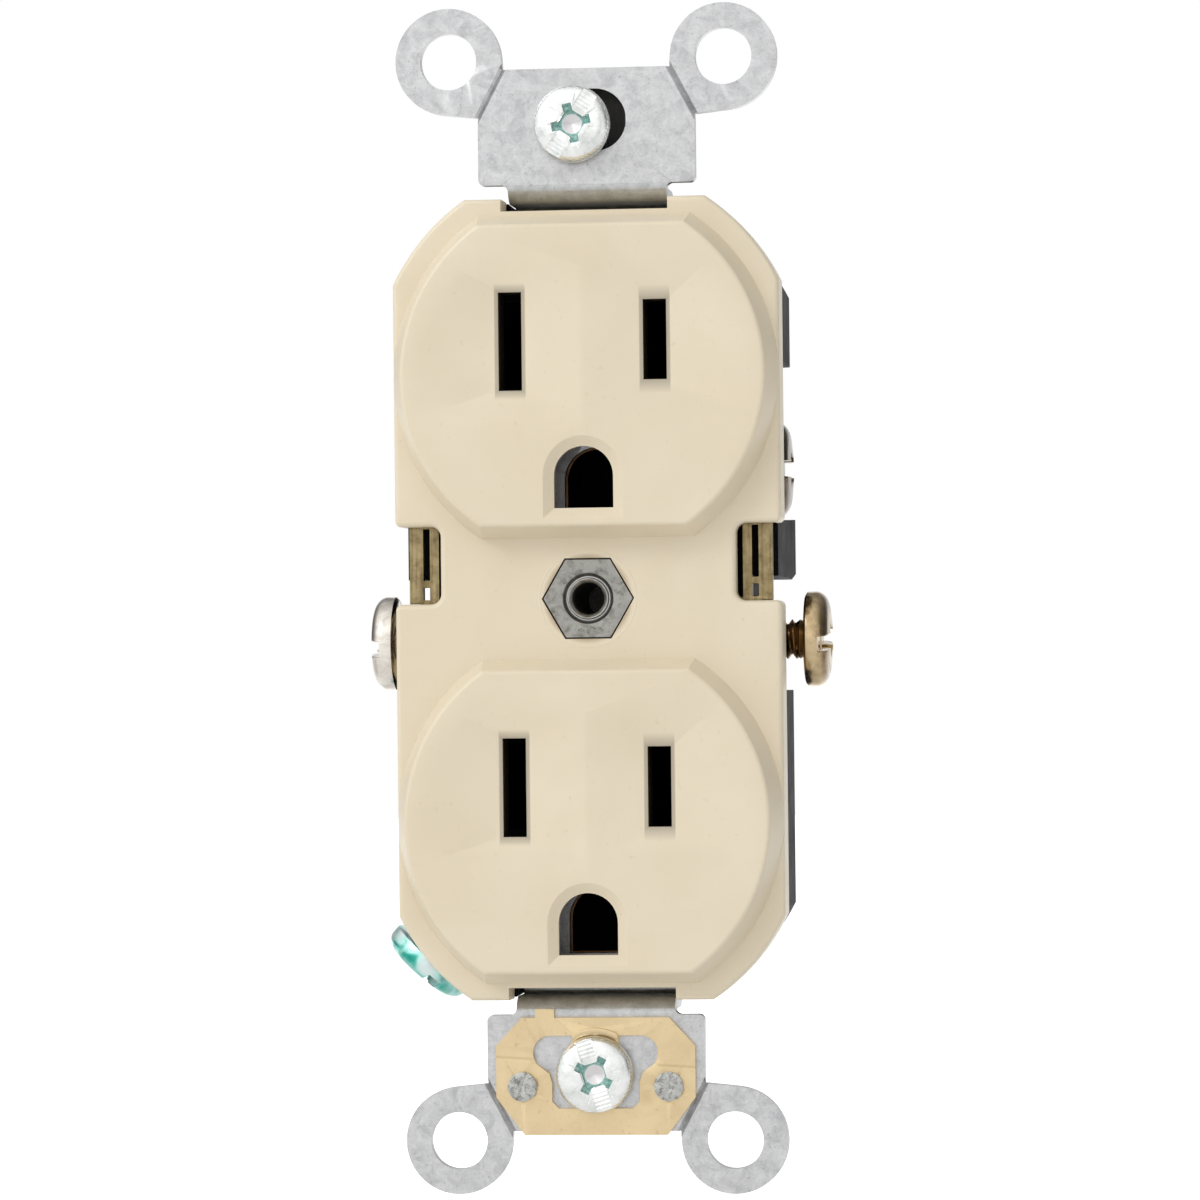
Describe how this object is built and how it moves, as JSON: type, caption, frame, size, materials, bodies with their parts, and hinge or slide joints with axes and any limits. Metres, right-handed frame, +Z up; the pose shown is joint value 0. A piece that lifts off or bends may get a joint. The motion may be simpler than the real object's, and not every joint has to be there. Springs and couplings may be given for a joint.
{
  "type": "duplex wall outlet",
  "caption": "Wall outlet with grounded sockets on a moulded cover, screw terminals at both sides, a steel strap with break-off ears and captive box screws.",
  "frame": {"origin": "middle of the four ear holes, in the plane of the wall at the strap's back, on the axis of the wall plate's tapped hole", "axes": "+X towards the line side (right seen from the room), -Y out into the room, +Z up"},
  "size_m": [0.0411, 0.0273, 0.1044],
  "materials": {
    "ivory_plastic": "semi-gloss ivory moulding",
    "black_plastic": "glossy black moulding",
    "strap_steel": "zinc-plated steel",
    "strip_brass": "dull brass",
    "earth_brass": "dull brass",
    "rivet_steel": "plated",
    "hex_steel": "plated",
    "green_screw": "green dye over zinc plate",
    "box_screw_steel": "zinc-plated",
    "fibre": "dark pressed fibre",
    "clip_brass": "pale satin brass",
    "line_brass": "bright brass",
    "neutral_nickel": "nickel-plated",
    "spring_bronze": "phosphor bronze"
  },
  "bodies": {
    "receptacle": {"face_cover": "ivory_plastic", "back_body": "black_plastic", "mounting_strap": "strap_steel", "line_contact_strip": "strip_brass", "neutral_contact_strip": "strip_brass", "upper_earth_contact": "earth_brass", "lower_earth_contact": "earth_brass", "earth_contact_rivets": "rivet_steel", "center_rivet": "hex_steel", "grounding_clip": "clip_brass", "clip_rivet_left": "rivet_steel", "clip_rivet_right": "rivet_steel"},
    "line_screw_upper": {"line_screw_upper": "line_brass"},
    "line_screw_lower": {"line_screw_lower": "line_brass"},
    "neutral_screw_upper": {"neutral_screw_upper": "neutral_nickel"},
    "neutral_screw_lower": {"neutral_screw_lower": "neutral_nickel"},
    "ground_screw": {"ground_screw": "green_screw"},
    "screw_retainer": {"screw_retainer": "fibre"},
    "mounting_screw_top": {"mounting_screw_top": "box_screw_steel"},
    "mounting_screw_bottom": {"mounting_screw_bottom": "box_screw_steel"},
    "line_wire_spring_upper": {"line_wire_spring_upper": "spring_bronze"},
    "line_wire_spring_lower": {"line_wire_spring_lower": "spring_bronze"},
    "neutral_wire_spring_upper": {"neutral_wire_spring_upper": "spring_bronze"},
    "neutral_wire_spring_lower": {"neutral_wire_spring_lower": "spring_bronze"}
  },
  "joints": [
    {"name": "line_upper_terminal_slide", "type": "slide", "parent": "receptacle", "child": "line_screw_upper", "axis": [1, 0, 0], "range_m": [0, 0.0043]},
    {"name": "line_lower_terminal_slide", "type": "slide", "parent": "receptacle", "child": "line_screw_lower", "axis": [1, 0, 0], "range_m": [-0.0033, 0.001]},
    {"name": "neutral_upper_terminal_slide", "type": "slide", "parent": "receptacle", "child": "neutral_screw_upper", "axis": [-1, 0, 0], "range_m": [0, 0.0043]},
    {"name": "neutral_lower_terminal_slide", "type": "slide", "parent": "receptacle", "child": "neutral_screw_lower", "axis": [-1, 0, 0], "range_m": [-0.0028, 0.0015]},
    {"name": "earth_terminal_slide", "type": "slide", "parent": "receptacle", "child": "ground_screw", "axis": [-0.6691, 0, -0.7431], "range_m": [-0.001, 0.0033]},
    {"name": "retainer_slide", "type": "slide", "parent": "receptacle", "child": "screw_retainer", "axis": [1, 0, 0], "range_m": [-0.00055, 0.00275]},
    {"name": "top_box_screw_slide", "type": "slide", "parent": "screw_retainer", "child": "mounting_screw_top", "axis": [0, -1, 0], "range_m": [-0.0005, 0.0021]},
    {"name": "bottom_box_screw_slide", "type": "slide", "parent": "receptacle", "child": "mounting_screw_bottom", "axis": [0, -1, 0], "range_m": [0, 0.0021]},
    {"name": "line_upper_wire_spring_hinge", "type": "hinge", "parent": "receptacle", "child": "line_wire_spring_upper", "pos_m": [0.0109, 0.0132, 0.0169], "axis": [0, 0, -1], "range_deg": [0, 14], "stiffness_Nm_per_rad": 0.05},
    {"name": "line_lower_wire_spring_hinge", "type": "hinge", "parent": "receptacle", "child": "line_wire_spring_lower", "pos_m": [0.0109, 0.0132, -0.0093], "axis": [0, 0, -1], "range_deg": [0, 14], "stiffness_Nm_per_rad": 0.05},
    {"name": "neutral_upper_wire_spring_hinge", "type": "hinge", "parent": "receptacle", "child": "neutral_wire_spring_upper", "pos_m": [-0.0109, 0.0132, 0.0169], "axis": [0, 0, 1], "range_deg": [0, 14], "stiffness_Nm_per_rad": 0.05},
    {"name": "neutral_lower_wire_spring_hinge", "type": "hinge", "parent": "receptacle", "child": "neutral_wire_spring_lower", "pos_m": [-0.0109, 0.0132, -0.0093], "axis": [0, 0, 1], "range_deg": [0, 14], "stiffness_Nm_per_rad": 0.05}
  ]
}
